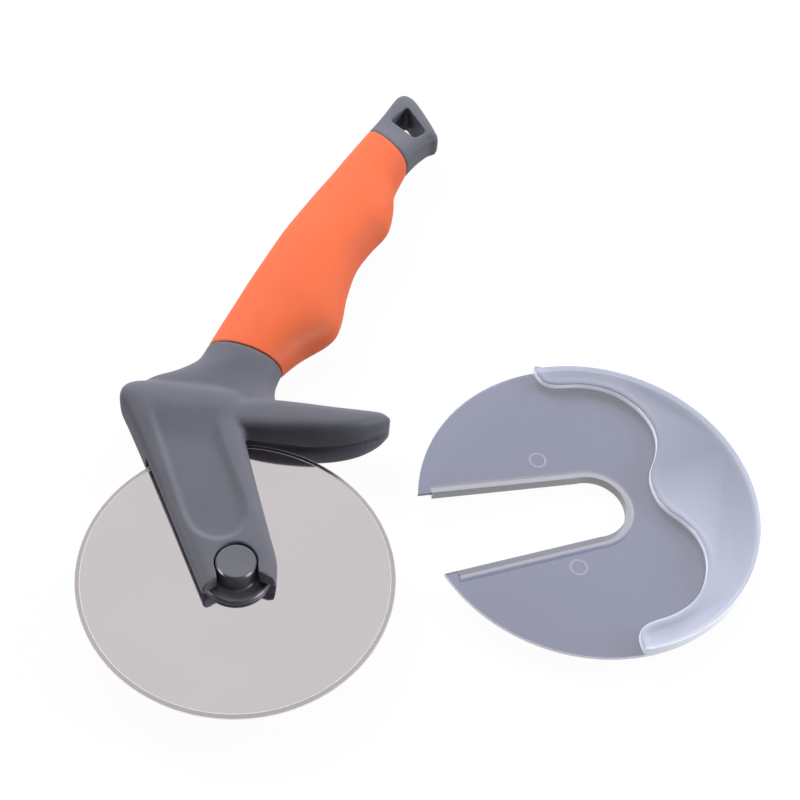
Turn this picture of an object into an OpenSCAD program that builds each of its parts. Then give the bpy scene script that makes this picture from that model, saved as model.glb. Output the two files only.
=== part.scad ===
// Pizza cutter: a snap-in wheel in a moulded fork with a soft grip, and the slip-on cover of its blade.
// It lies on its side. The wheel's axis points up, the handle runs away along +Y.
// Lengths are in millimetres. Outlines are given round the wheel's axis, and the last step
// moves everything so that the origin is under the middle of the whole set, at the bottom.

/* [Blade] */
// Diameter of the blade
blade_d = 100; // [80:1:120]
// Thickness of the blade
blade_t = 1; // [0.6:0.1:1.4]
// Width of the ground edge
bevel_w = 1.6; // [0.8:0.1:4]
// Thickness left at the very edge
edge_t = 0.12; // [0.06:0.02:0.3]

/* [Hub] */
// Diameter of the round stubs that sit in the fork
stub_d = 12.8; // [11:0.2:15]
// Diameter of the flanges beside the blade
flange_d = 22.4; // [18:0.2:28]
// Thickness of each flange
flange_t = 1.8; // [1:0.1:2.4]
// Diameter of the barrel that the blade turns on
barrel_d = 10; // [8:0.2:10.8]
// Diameter of the pin that joins the two halves
spigot_d = 6; // [4:0.2:7]
// Depth of the socket for that pin
socket_depth = 5; // [3:0.5:6]
// Chamfer round each stub's end
stub_chamfer = 0.5; // [0.2:0.1:1]

/* [Fork] */
// Thickness over both arms at the wheel
fork_t = 17; // [15:0.5:20]
// Thickness over the shoulder
shoulder_t = 21.6; // [20:0.2:24]
// Direction of the arms, from +X
arm_dir = 117.3; // [112:0.1:122]
// Width of the arms at the wheel
arm_w = 26; // [24:0.5:30]
// Width of the arms at the rim of the blade
arm_top_w = 32.6; // [30:0.2:36]
// Direction in which the wheel is pulled out, from +X
mouth_dir = -75.5; // [-80:0.5:-72]
// Opening angle of the flare at each arm's end
flare_angle = 120; // [100:2:130]
// Depth of the panel sunk in each arm's face
panel_depth = 0.5; // [0.3:0.1:1]

/* [Guard] */
// Reach of the finger guard from the wheel's axis
guard_reach = 42.6; // [38:0.5:46]
// Width of the guard, across the blade
guard_w = 22.6; // [20:0.2:24]
// Width of the groove along the guard's front
groove_w = 4; // [2:0.2:5]
// Depth of that groove
groove_depth = 3; // [2:0.2:4]

/* [Grip] */
// Length of the soft grip along the handle
grip_l = 108; // [90:1:125]
// Direction of the handle, from +X
handle_dir = 69.8; // [66:0.2:74]
// Thickness of the handle at the collar
collar_t = 18.8; // [16:0.2:20]
// Thickness of the grip at its belly
belly_t = 22.2; // [19:0.2:22.6]
// Reach of the first finger swell from the handle's line
swell_1 = 22.4; // [19:0.2:25]
// Reach of the second finger swell
swell_2 = 17.8; // [16:0.2:20]
// Reach of the palm side from the handle's line
palm = 14.3; // [12:0.1:17]
// Wall of the soft grip
grip_wall = 2.4; // [1.6:0.1:3]

/* [Hanging end] */
// Length of the end beyond the grip
end_l = 29; // [26:0.5:34]
// Thickness of the end
end_t = 12; // [9:0.2:14]
// Rounding of the hanging hole's corners
hole_round = 1.2; // [0.8:0.1:1.6]

/* [Cover] */
// Outer diameter of the cover
cover_d = 113.4; // [106:0.2:130]
// Wall of the pocket's rim
rim_wall = 1.6; // [1:0.1:2]
// Thickness of the cover's sheets
sheet_t = 1.2; // [0.8:0.1:1.6]
// Gap inside the pocket
pocket_gap = 2; // [1.8:0.1:3]
// Depth of the ribs under the plate
rib_depth = 2.4; // [1:0.1:3]
// Width of the rib along the slot
rib_w = 2.6; // [1.6:0.1:4]
// Radius of the slot's round end
slot_r = 11.9; // [10:0.1:14]
// Angle between each side of the slot and its middle line
slot_taper = 3.9; // [2:0.1:6]
// Distance of the slot's round end from the cover's middle
slot_shift = 0.6; // [0:0.1:4]
// Width of the raised lip along the pocket's edge
lip_w = 3.4; // [2:0.1:5]
// Height of that lip over the sheet
lip_h = 0.8; // [0.4:0.1:1.5]
// Place of the slot's round end, from the wheel's axis, along X
cover_x = 110.9; // [105:0.1:130]
// Place of the slot's round end, from the wheel's axis, along Y
cover_y = 44.7; // [30:0.1:60]
// Turn of the cover, from +X
cover_turn = 20.3; // [0:0.1:40]

/* [Fits] */
// Running clearance of the blade on its hub
run_fit = 0.05; // [0.02:0.01:0.1]
// Play of the stubs in their seats, on the radius
seat_play = 0.5; // [0.3:0.05:0.8]
// Play of the stubs in the mouth, on each side
mouth_play = 0.15; // [0.1:0.05:0.3]
// Play of the flanges between the arms, on each side
side_play = 0.35; // [0.2:0.05:0.6]
// Gap between the rim of the blade and the fork
tip_gap = 2; // [1:0.1:4]
// Gap between the grip and the moulding under it
bond = 0.05; // [0.03:0.01:0.1]
// Fit of the joining pin in its socket
pin_fit = 0.02; // [0.01:0.01:0.05]

/* [Hidden] */

$fn = 96;
RING = 28;       // points round each section of the handle and the fork
GUARD_RING = 24; // points round each section of the guard
STEPS = 3;       // sections between two stations
CUT = 1;         // how far a cutting tool runs past a face

blade_r = blade_d / 2;
pocket_r = blade_r + tip_gap;
flange_in = blade_t / 2 + run_fit;
flange_out = flange_in + flange_t;
slot_half = flange_out + side_play;
fork_half = fork_t / 2;
shoulder_half = shoulder_t / 2;
guard_half = guard_w / 2;
seat_r = stub_d / 2 + seat_play;
mouth_w = stub_d + 2 * mouth_play;
// the mouth leaves the seat where it is a little narrower, and flares out from here
mouth_depth = stub_d / 2 - 1.6;
bore_r = barrel_d / 2 + run_fit;

cover_r = cover_d / 2;
plate_z = rib_depth;
sheet_z = plate_z + sheet_t + pocket_gap;
// The cover lies tilted: on the round end of its rib, and on its rim across from the slot's mouth
pivot_x = slot_r + rib_w;
cover_tilt = atan(rib_depth / (cover_r - slot_shift - pivot_x));

// Frames of reference in the plan: along and to the left of a direction
function ahead(dir) = [cos(dir), sin(dir)];
function left(dir) = [-sin(dir), cos(dir)];
function place(at, dir, a, b) = at + a * ahead(dir) + b * left(dir);

// A smooth run of values through a list of stations
function spline(p0, p1, p2, p3, t) =
    0.5 * (2 * p1 + (p2 - p0) * t + (2 * p0 - 5 * p1 + 4 * p2 - p3) * t * t
    + (3 * p1 - p0 - 3 * p2 + p3) * t * t * t);
function last(list) = list[len(list) - 1];
function smooth(rows, steps) = concat(
    [for (i = [0:len(rows) - 2], k = [0:steps - 1])
        spline(rows[max(i - 1, 0)], rows[i], rows[i + 1], rows[min(i + 2, len(rows) - 1)], k / steps)],
    [last(rows)]);

// One section of a moulded form: a rounded oblong, standing on the line from one side to the other.
// A station is [side x, side y, other x, other y, half thickness, squareness].
// The first point is on the parting line, or half a step over it.
function bent(c, n) = sign(c) * pow(abs(c), 2 / n);
function section(s, points, start) =
    let (mid = [s[0] + s[2], s[1] + s[3]] / 2, arm = [s[2] - s[0], s[3] - s[1]] / 2)
    [for (k = [0:points - 1])
        let (turn = 360 * (k + start) / points, p = mid + arm * bent(cos(turn), s[5]))
        [p.x, p.y, s[4] * bent(sin(turn), s[5])]];
function sections(rows, points, start) = [for (s = rows) section(s, points, start)];
function handle_sections(rows) = sections(smooth(rows, STEPS), RING, 0.5);

// Triangles between each ring and the next one, and between the last and the first if they close
function skin(count, points, close) =
    [for (i = [0:count - (close ? 1 : 2)], k = [0:points - 1])
        let (j = (i + 1) % count, m = (k + 1) % points,
            a = i * points + k, b = i * points + m, c = j * points + m, d = j * points + k)
        each [[a, c, d], [a, b, c]]];
function flat(lists) = [for (l = lists, p = l) p];

module moulded(rings) {
    n = len(rings[0]);
    polyhedron(
        points = flat(rings),
        faces = concat([[for (k = [n - 1:-1:0]) k]], skin(len(rings), n, false),
            [[for (k = [0:n - 1]) (len(rings) - 1) * n + k]]));
}

module sleeve(rings) {
    polyhedron(points = flat(rings), faces = skin(len(rings), len(rings[0]), true));
}

// Fork: from the ends of the arms up to the shoulder, on a line from the wheel's axis
function arm_at(a, b) = place([0, 0], arm_dir, a, b);
function fork_row(p, q, half, square) = [p.x, p.y, q.x, q.y, half, square];
arm_back = arm_w * 0.49;
arm_front = arm_back - arm_w;
top_front = arm_back - arm_top_w;
rim_a = blade_r + 4;
function fork_half_at(a) = fork_half + (shoulder_half - fork_half) * max(a, 0) / (rim_a + 20);
fork_rows = [
    fork_row(arm_at(-5, arm_back), arm_at(-10.6, arm_front + 4.2), fork_half, 6),
    fork_row(arm_at(4, arm_back), arm_at(-3, arm_front + 0.8), fork_half, 6),
    fork_row(arm_at(14, arm_back), arm_at(9, arm_front - 0.9), fork_half_at(12), 6),
    fork_row(arm_at(rim_a * 0.6, arm_back), arm_at(rim_a * 0.55, (arm_front + top_front) / 2 - 0.3),
        fork_half_at(rim_a * 0.6), 6),
    fork_row(arm_at(rim_a, arm_back + 0.2), arm_at(rim_a - 5, top_front), fork_half_at(rim_a), 5),
    fork_row(arm_at(rim_a + 14, arm_back + 0.5), arm_at(rim_a, top_front - 2), shoulder_half, 4.5),
    fork_row(arm_at(rim_a + 21.8, arm_back + 0.8), arm_at(rim_a + 4, top_front - 5), shoulder_half - 0.4, 4),
    fork_row(arm_at(rim_a + 25.4, arm_back - 1.4), arm_at(rim_a + 6, top_front - 6.5), shoulder_half - 2, 3.6),
    fork_row(arm_at(rim_a + 26.4, arm_back - 5), arm_at(rim_a + 6.8, top_front - 7), shoulder_half - 4.4, 3.2)
];

// Guard: from inside the fork to its tip. Its front is the side that faces the blade.
guard_y = pocket_r - 1;
function guard_row(x, front, depth, half, square) =
    [x, guard_y + front + depth, x, guard_y + front, half, square];
guard_rows = [
    guard_row(-12, -0.5, 12.3, guard_half - 2.6, 3),
    guard_row(2, -1.5, 14.9, guard_half - 0.8, 3.2),
    guard_row(guard_reach * 0.3, -1.2, 14.4, guard_half, 3.1),
    guard_row(guard_reach * 0.54, 0, 12.8, guard_half, 3),
    guard_row(guard_reach * 0.76, 2.8, 10.4, guard_half - 1, 2.8),
    guard_row(guard_reach * 0.92, 6.8, 7.2, guard_half - 3.2, 2.5),
    guard_row(guard_reach, 10.4, 3, guard_half - 6.6, 2.2)
];

// Handle: its line starts in the middle of the collar, where the neck ends and the grip begins
collar_at = arm_at(rim_a, 0) + [16.4, 36];
function on_handle(a, b) = place(collar_at, handle_dir, a, b);
function handle_row(a1, b1, a2, b2, half, square) =
    let (p = on_handle(a1, b1), q = on_handle(a2, b2)) [p.x, p.y, q.x, q.y, half, square];
collar_half = collar_t / 2;
belly_half = belly_t / 2;
end_half = end_t / 2;

neck_rows = [
    handle_row(-32, 23, -15.5, -24, collar_half - 1.6, 3),
    handle_row(-25, 24.8, -11, -17.5, collar_half - 1.2, 2.8),
    handle_row(-17.6, 18.4, -6.4, -14.8, collar_half - 0.9, 2.5),
    handle_row(-9.6, 13.7, -2.8, -13.9, collar_half - 0.4, 2.2),
    handle_row(-1.3, 13.4, 1.3, -13.4, collar_half, 2.1)
];

// The grip's stations, each with its sides brought in by a wall
function grip_rows(in) = [
    handle_row(-1.3, 13.4 - in, 1.3, in - 13.4, collar_half - in, 2.1),
    handle_row(8, palm - 0.5 - in, 11, in - 16.4, collar_half + 0.6 - in, 2.1),
    handle_row(grip_l * 0.19, palm - 0.2 - in, grip_l * 0.21, in - swell_1 + 0.6, belly_half - 0.5 - in, 2.2),
    handle_row(grip_l * 0.27, palm - in, grip_l * 0.28, in - swell_1 + 0.8, belly_half - in, 2.2),
    handle_row(grip_l * 0.39, palm - in, grip_l * 0.39, in - 18, belly_half - in, 2.2),
    handle_row(grip_l * 0.51, palm - 0.1 - in, grip_l * 0.51, in - 15.6, belly_half - 0.3 - in, 2.2),
    handle_row(grip_l * 0.62, palm - 0.9 - in, grip_l * 0.61, in - 16.2, belly_half - 0.9 - in, 2.2),
    handle_row(grip_l * 0.73, palm - 1.9 - in, grip_l * 0.70, in - swell_2, belly_half - 1.5 - in, 2.2),
    handle_row(grip_l * 0.82, palm - 3 - in, grip_l * 0.78, in - 15.8, belly_half - 2 - in, 2.2),
    handle_row(grip_l * 0.90, palm - 3.9 - in, grip_l * 0.86, in - 12.4, belly_half - 2.4 - in, 2.3),
    handle_row(grip_l + 5.3, 8.6 - in, grip_l - 2.3, in - 11.2, belly_half - 3 - in, 2.5)
];

// The hanging end leans over to the finger side and comes to a rounded tip
end_a = grip_l;
tip_a = grip_l + end_l;
end_rows = [
    handle_row(end_a + 5.3, 8.6, end_a - 2.3, -11.2, belly_half - 3, 2.5),
    handle_row(end_a + 10, 8, end_a + 5, -12.4, end_half + 0.6, 3.2),
    handle_row(end_a + 15, 7.4, end_a + 11, -14.2, end_half, 4),
    handle_row(tip_a - 9.4, 7, tip_a - 14.8, -16.1, end_half, 4.5),
    handle_row(tip_a - 6, 6.8, tip_a - 11.8, -13.4, end_half, 4.5),
    handle_row(tip_a - 3, 6.5, tip_a - 7, -7.8, end_half - 0.2, 4.2),
    handle_row(tip_a - 0.9, 5.4, tip_a - 2.6, -2.4, end_half - 0.9, 3.6),
    handle_row(tip_a, 3.8, tip_a - 0.5, 0.6, end_half - 2.2, 3)
];

// The moulded outsides, and the box round the whole set as it lies on a table
fork_skin = sections(smooth(fork_rows, STEPS), RING, 0);
guard_skin = sections(smooth(guard_rows, STEPS), GUARD_RING, 0.5);
neck_skin = handle_sections(neck_rows);
grip_skin = handle_sections(grip_rows(0));
end_skin = handle_sections(end_rows);
outside = flat(concat(fork_skin, guard_skin, neck_skin, grip_skin, end_skin));
lie_h = max([for (p = outside) p.z]);
rim_x = (pivot_x - (slot_shift + pivot_x) * cos(cover_tilt) + (sheet_z + sheet_t) * sin(cover_tilt))
    * cos(cover_turn) + cover_r * norm([cos(cover_tilt) * cos(cover_turn), sin(cover_turn)]);
box_x = [-blade_r, cover_x + rim_x];
box_y = [-blade_r, max([for (p = outside) p.y])];
origin = [-(box_x[0] + box_x[1]) / 2, -(box_y[0] + box_y[1]) / 2, lie_h];

module frame() {
    color("#72737c") translate(origin) difference() {
        union() {
            moulded(fork_skin);
            moulded(guard_skin);
            moulded(concat(neck_skin, handle_sections(grip_rows(grip_wall + bond)), end_skin));
        }
        blade_pocket();
        guard_groove();
        wheel_seat();
        for (side = [0, 1]) mirror([0, 0, side]) arm_panel();
        hanging_hole();
    }
}

module blade_pocket() {
    translate([0, 0, -slot_half]) cylinder(r = pocket_r, h = 2 * slot_half);
}

// The groove runs out towards the guard's tip
module guard_groove() {
    rows = smooth(guard_rows, 2);
    front = [for (s = rows) if (s[0] > -4) [s[2], s[3]]];
    translate([0, 0, -groove_w / 2]) linear_extrude(groove_w) polygon(concat(
        [for (p = front) p + [0, groove_depth * (1 - pow(max(p.x, 0) / guard_reach, 4)) - CUT / 20]],
        [[guard_reach + CUT, 0], [front[0].x, 0]]));
}

module wheel_seat() {
    deep = shoulder_half + CUT;
    lip = mouth_w / 2;
    far = arm_w;
    spread = (far - mouth_depth) * tan(flare_angle / 2);
    translate([0, 0, -deep]) cylinder(r = seat_r, h = 2 * deep);
    rotate(mouth_dir) translate([0, 0, -deep]) linear_extrude(2 * deep) polygon([
        [0, lip], [mouth_depth, lip], [far, lip + spread],
        [far, -lip - spread], [mouth_depth, -lip], [0, -lip]]);
}

// A shallow panel with rounded corners, parallel to the arm's outer face
module arm_panel() {
    slope = atan((shoulder_half - fork_half) / (rim_a + 20));
    r = 3;
    low = seat_r + 3;
    back = arm_back - 6;
    rotate(arm_dir) translate([0, 0, fork_half - panel_depth]) rotate([0, -slope, 0])
        linear_extrude(shoulder_half) hull() {
            translate([low + r, back - r]) circle(r, $fn = 32);
            translate([low + r + 1, arm_front + 6.6 + r]) circle(r, $fn = 32);
            translate([rim_a + 4, back + 1 - r]) circle(r, $fn = 32);
            translate([rim_a - 2, top_front + 6.4 + r]) circle(r, $fn = 32);
        }
}

module hanging_hole() {
    corners = [on_handle(end_a + 13.4, 1.4), on_handle(tip_a - 8.9, -0.4),
        on_handle(end_a + 13.4, -9.6), on_handle(end_a + 10.2, -8)];
    translate([0, 0, -end_t]) linear_extrude(2 * end_t) hull()
        for (c = corners) translate(c) circle(hole_round, $fn = 24);
}

module grip() {
    inner = handle_sections(grip_rows(grip_wall));
    color("#ff805b") translate(origin)
        sleeve(concat(grip_skin, [for (i = [len(inner) - 1:-1:0]) inner[i]]));
}

module blade() {
    color("#c8c4c6") translate(origin) rotate_extrude() polygon([
        [bore_r, -blade_t / 2], [blade_r - bevel_w, -blade_t / 2], [blade_r, -edge_t / 2],
        [blade_r, edge_t / 2], [blade_r - bevel_w, blade_t / 2], [bore_r, blade_t / 2]]);
}

// Flange and stub, from the blade's side outwards
module hub_half() {
    stub_r = stub_d / 2;
    rim = flange_d / 2;
    ease = flange_t * 0.35;
    rotate_extrude() polygon([
        [0, flange_in], [rim, flange_in], [rim, flange_out - ease], [rim - ease, flange_out],
        [stub_r + ease, flange_out], [stub_r, flange_out + ease],
        [stub_r, fork_half - stub_chamfer], [stub_r - stub_chamfer, fork_half], [0, fork_half]]);
}

module hub_front() {
    color("#6f7079") translate(origin) {
        hub_half();
        translate([0, 0, -flange_in]) cylinder(d = barrel_d, h = 2 * flange_in + CUT / 2);
        translate([0, 0, -flange_in - socket_depth + CUT / 2]) cylinder(d = spigot_d, h = socket_depth);
    }
}

module hub_back() {
    color("#6f7079") translate(origin) difference() {
        mirror([0, 0, 1]) hub_half();
        translate([0, 0, -flange_in - socket_depth])
            cylinder(d = spigot_d + 2 * pin_fit, h = socket_depth + CUT);
    }
}

// Cover: laid out round the end of its slot, with the slot's mouth towards -X
edge_side = [[21.2, 0], [21.7, 4.5], [23.5, 8.6], [26.8, 13.4], [29.3, 19.1], [29.9, 25.5],
    [28, 32.6], [23.5, 39.5], [18, 43.8], [11, 46.4], [3.2, 47.6], [-0.8, 49.5], [-2.5, 53.1], [-2.4, 58.5]];
edge_half = smooth([for (p = edge_side) p * cover_r / 56.7], 3);
pocket_edge = concat(
    [for (i = [len(edge_half) - 1:-1:1]) [edge_half[i].x, -edge_half[i].y]], edge_half);

module pocket_area() {
    intersection() {
        translate([-slot_shift, 0]) circle(cover_r);
        polygon(concat(pocket_edge, [[cover_r + CUT, last(edge_half).y], [cover_r + CUT, -last(edge_half).y]]));
    }
}

module slot_area(grow) {
    r = slot_r + grow;
    far = cover_r + slot_shift + CUT;
    touch = [r * cos(90 + slot_taper), r * sin(90 + slot_taper)];
    mouth = touch.y + (far + touch.x) * tan(slot_taper);
    circle(r);
    polygon([[0, 0], touch, [-far, mouth], [-far, -mouth], [touch.x, -touch.y]]);
}

module lip_area() {
    n = len(pocket_edge);
    inner = [for (i = [0:n - 1])
        let (d = pocket_edge[min(i + 1, n - 1)] - pocket_edge[max(i - 1, 0)])
        pocket_edge[i] + lip_w * [d.y, -d.x] / norm(d)];
    intersection() {
        pocket_area();
        polygon(concat(pocket_edge, [for (i = [n - 1:-1:0]) inner[i]]));
    }
}

module blade_cover() {
    color([0.60, 0.63, 0.72, 0.6])
        translate([origin.x + cover_x, origin.y + cover_y, 0]) rotate(cover_turn)
        translate([pivot_x, 0, 0]) rotate([0, cover_tilt, 0]) translate([-pivot_x, 0, 0]) {
        difference() {
            translate([-slot_shift, 0, plate_z]) cylinder(r = cover_r, h = sheet_t);
            translate([0, 0, -CUT]) linear_extrude(sheet_z) slot_area(0);
        }
        slot_rib();
        pocket_rim();
        translate([0, 0, sheet_z]) linear_extrude(sheet_t) pocket_area();
        translate([0, 0, sheet_z]) linear_extrude(sheet_t + lip_h) lip_area();
    }
}

// The wall that joins both sheets, half round the cover
module pocket_rim() {
    tip_x = edge_half[len(edge_half) - 2].x + slot_shift;
    translate([-slot_shift, 0, plate_z]) linear_extrude(sheet_z + sheet_t - plate_z) difference() {
        intersection() {
            circle(cover_r);
            translate([tip_x, -cover_r - CUT]) square([cover_r + CUT, 2 * cover_r + 2 * CUT]);
        }
        circle(cover_r - rim_wall);
    }
}

module slot_rib() {
    x_end = -cover_r * 0.884;
    linear_extrude(rib_depth + sheet_t / 2) difference() {
        intersection() {
            slot_area(rib_w);
            translate([x_end, -cover_r]) square([2 * cover_r, 2 * cover_r]);
        }
        slot_area(0);
    }
}

frame();
grip();
blade();
hub_front();
hub_back();
blade_cover();
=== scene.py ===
from contextlib import contextmanager
from math import atan2, cos, pi, radians, sin, tan

import bmesh
import bpy
import numpy as np
from bpy.props import FloatProperty, FloatVectorProperty, IntProperty, PointerProperty
from bpy.types import NodeSocket, Operator, Panel, PropertyGroup
from mathutils import Matrix, Vector


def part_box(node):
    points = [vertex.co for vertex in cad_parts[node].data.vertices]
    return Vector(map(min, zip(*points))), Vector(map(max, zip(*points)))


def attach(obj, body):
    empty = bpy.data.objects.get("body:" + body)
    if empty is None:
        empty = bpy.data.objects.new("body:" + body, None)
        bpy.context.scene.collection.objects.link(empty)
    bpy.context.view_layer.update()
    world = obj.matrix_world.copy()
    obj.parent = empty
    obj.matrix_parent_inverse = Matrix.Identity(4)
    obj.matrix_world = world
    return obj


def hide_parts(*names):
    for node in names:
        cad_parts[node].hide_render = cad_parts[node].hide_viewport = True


bl_info = {
    "name": "Pizza cutter",
    "version": (1, 0, 0),
    "blender": (4, 5, 0),
    "location": "View3D > Sidebar > Pizza cutter",
    "description": "A pizza cutter with a snap-in wheel, a soft grip and a slip-on blade cover",
    "category": "Add Mesh",
}

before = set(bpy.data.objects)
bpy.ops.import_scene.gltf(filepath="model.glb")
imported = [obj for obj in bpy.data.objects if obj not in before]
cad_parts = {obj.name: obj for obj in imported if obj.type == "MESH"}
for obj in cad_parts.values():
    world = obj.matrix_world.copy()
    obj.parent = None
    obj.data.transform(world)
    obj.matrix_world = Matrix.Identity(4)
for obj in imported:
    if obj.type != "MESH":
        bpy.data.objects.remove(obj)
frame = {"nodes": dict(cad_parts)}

# Floor, in metres
FLOOR_Z = 0.0
FLOOR_REACH = 6

# Every outline below is in millimetres round the wheel's axis, which is the middle of the blade.
MM = 0.001
blade_low, blade_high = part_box("blade")
WHEEL = (blade_low + blade_high) / 2
BLADE_R = (blade_high.x - blade_low.x) / 2 / MM
BLADE_HALF = (blade_high.z - blade_low.z) / 2 / MM

# Blade: the thin lines at the edges of its bevel, which carry a painted highlight, and the order of its
# material slots
EDGE_HALF = 0.06
BORE_CHAMFER = 0.15
LINE_HALF = 0.12
LINE_DROP = 0.04
BURR_W = 0.22
BURR_RISE = 0.05
POLISHED, GROUND, PAINTED_GLINT = range(3)

# Hub, in two halves pressed together
STUB_R = 6.4
STUB_CHAMFER = 0.6
FLANGE_R = 11.2
FLANGE_T = 1.8
FLANGE_CHAMFER = 0.45
DISH_DEPTH = 0.35
BARREL_R = 5.0
RUN_FIT = 0.05
FLANGE_IN = BLADE_HALF + RUN_FIT
FLANGE_OUT = FLANGE_IN + FLANGE_T
SPIGOT_R = 3
SPIGOT_L = 4.5
SOCKET_R = 3.02
SOCKET_L = 5

# Fork and guard, with the slot for the wheel and the seats for its stubs
SLOT_HALF = FLANGE_OUT + 0.35
SEAT_R = STUB_R + 0.5
MOUTH_HALF = STUB_R + 0.15
MOUTH_DEPTH = STUB_R - 1.6
MOUTH_DIR = radians(-75.5)
FLARE = radians(60)
POCKET_R = BLADE_R + 2
ARM_DIR = radians(117.3)
ARM_W = 26
ARM_BACK = ARM_W * 0.49
ARM_TOP_W = 32.6
FORK_HALF = 8.5
SHOULDER_HALF = 10.8
RIM_A = BLADE_R + 4
SHOULDER_A = RIM_A + 20
PANEL_TOP = 58
PANEL_FADE = 16
PANEL_INSIDE = 6
GUARD_REACH = 42.6
GUARD_HALF = 11.3
GUARD_LAP = 1
GROOVE_W = 4
GROOVE_DEPTH = 3
GROOVE_FROM = -4
GROOVE_OUT = 0.05

# Handle, from the grip's collar outwards
COLLAR_STEP = np.array([16.4, 36])
HANDLE_DIR = radians(69.8)
COLLAR_HALF = 9.4
BELLY_HALF = 11.1
GRIP_L = 108
GRIP_WALL = 2.4
BOND = 0.05
PALM = 14.3
SWELL_1 = 22.4
SWELL_2 = 17.8
END_L = 29
END_HALF = 6
TIP = GRIP_L + END_L
HOLE_ROUND = 1.2

# Cover, laid out round the end of its slot. It lies tilted, on its rib's round end and on its far rim.
COVER_R = 56.7
COVER_AT = (110.9, 44.7)
COVER_TURN = radians(20.3)
SLOT_R = 11.9
SLOT_TAPER = radians(3.9)
SLOT_SHIFT = 0.6
COVER_MIDDLE = (-SLOT_SHIFT, 0)
RIB_DEPTH = 2.4
RIB_W = 2.6
RIB_R = SLOT_R + RIB_W
RIB_END = COVER_R * 0.884
SHEET_T = 1.2
PLATE_TOP = RIB_DEPTH + SHEET_T
POCKET_GAP = 2
SHEET_LOW = PLATE_TOP + POCKET_GAP
COVER_TOP = SHEET_LOW + SHEET_T
SHEET_INSET = 0.5
RIM_WALL = 1.6
LIP_W = 3.4
LIP_H = 0.8
OVERLAP = 0.01
EJECTOR_MARKS = ((-11.9, 21.2), (-11.7, -21.7))
MARK_R = 3.5
COVER_TILT = atan2(RIB_DEPTH, COVER_R - SLOT_SHIFT - RIB_R)

# The order of the cover's material slots, of which the edges carry a painted highlight and the under faces and
# the rib painted glow, and how its plastic clouds: cycles per metre, darkest, lightest
PLATE, SHEET, UNDER, WALL, PAINTED_HIGHLIGHT, RIB = range(6)
COVER_CLOUDS = (25, 0.97, 1.03)

# How level a face is, from 0 upright to 1 flat
UPRIGHT, HALFWAY, SLOPING, LEANING, FLAT = 0.3, 0.5, 0.8, 0.9, 0.97

# How white the floor is, and how much of it each kind of ray sees
FLOOR_WHITE = 1.46
FLOOR_SEEN = {"Is Camera Ray": 0.66, "Is Transmission Ray": 0.72, "Is Glossy Ray": 0.45}

# The photograph's view, with the camera's place in mm from the wheel's axis, and the world's dim sides
CAMERA_AT = (45.05, -326.0, 535.2)
CAMERA_PITCH = radians(53.17)
CAMERA_ROLL = radians(6.06)
LENS = 90
SENSOR_W = 36
FRONT = (0, -1, 0)
FRONT_ABOVE = (0, -1, 0.6)


# Plan geometry, in millimetres

def place(at, direction, along, left):
    """The point at a distance along a direction from at, and at a distance to its left."""
    c, s = cos(direction), sin(direction)
    return np.array([at[0] + along * c - left * s, at[1] + along * s + left * c])


def arm_at(along, left):
    """A point in the plan, along the fork's arms from the wheel's axis."""
    return place((0, 0), ARM_DIR, along, left)


COLLAR_AT = arm_at(RIM_A, 0) + COLLAR_STEP


def on_handle(along, left):
    """A point in the plan, along the handle from the grip's collar."""
    return place(COLLAR_AT, HANDLE_DIR, along, left)


def arc(radius, start, end, steps, middle=(0, 0)):
    """Points round a middle, from one angle to another."""
    return [(middle[0] + radius * cos(t), middle[1] + radius * sin(t))
            for t in np.linspace(start, end, steps)]


def circle(radius, steps, middle):
    """Points all round a middle, the last one a step short of the first."""
    return arc(radius, 0, 2 * pi * (steps - 1) / steps, steps, middle)


def station(side, other, half, square):
    """One cross-section: its two sides in the plan, its half thickness and how square it is."""
    return np.array([*side, *other, half, square], float)


def smooth(rows, steps):
    """A run of values that passes smoothly through every row."""
    rows = [np.asarray(r, float) for r in rows]
    run = []
    for i in range(len(rows) - 1):
        before, here = rows[max(i - 1, 0)], rows[i]
        there, after = rows[i + 1], rows[min(i + 2, len(rows) - 1)]
        for k in range(steps):
            t = k / steps
            run.append(0.5 * (2 * here + (there - before) * t
                              + (2 * before - 5 * here + 4 * there - after) * t * t
                              + (3 * here - before - 3 * there + after) * t ** 3))
    run.append(rows[-1])
    return run


def bent(value, square):
    """Bends a cosine or sine so that its circle turns into a rounded square."""
    return np.sign(value) * np.abs(value) ** (2 / square)


def section(row, points):
    """The ring of one cross-section, a rounded oblong."""
    middle, arm = (row[0:2] + row[2:4]) / 2, (row[2:4] - row[0:2]) / 2
    turn = 2 * pi * np.arange(points) / points
    across, up = bent(np.cos(turn), row[5]), bent(np.sin(turn), row[5])
    return np.column_stack([middle[0] + arm[0] * across, middle[1] + arm[1] * across, row[4] * up])


def rings_through(rows, steps=8, points=96):
    """The rings of a form that passes smoothly through its cross-sections."""
    return [section(r, points) for r in smooth(rows, steps)]


def ease(value):
    """0 below 0, 1 above 1, and a smooth step between."""
    t = np.clip(value, 0, 1)
    return t * t * (3 - 2 * t)


def depth_inside(points, outline):
    """How far each plan point is inside an outline. Outside it is negative."""
    p = points[:, :2]
    nearest = np.full(len(p), np.inf)
    inside = np.zeros(len(p), bool)
    for a, b in zip(outline, np.roll(outline, -1, axis=0)):
        d = b - a
        t = np.clip(((p - a) @ d) / (d @ d), 0, 1)
        nearest = np.minimum(nearest, np.hypot(*(p - (a + t[:, None] * d)).T))
        crosses = (a[1] > p[:, 1]) != (b[1] > p[:, 1])
        rise = b[1] - a[1] if b[1] != a[1] else 1e-9
        inside ^= crosses & (p[:, 0] < (b[0] - a[0]) * (p[:, 1] - a[1]) / rise + a[0])
    return np.where(inside, nearest, -nearest)


def square_to(line):
    """For each point of a line, the direction square to it, on its right."""
    ways = []
    for i in range(len(line)):
        d = line[min(i + 1, len(line) - 1)] - line[max(i - 1, 0)]
        ways.append(np.array([d[1], -d[0]]) / np.hypot(*d))
    return ways


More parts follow.
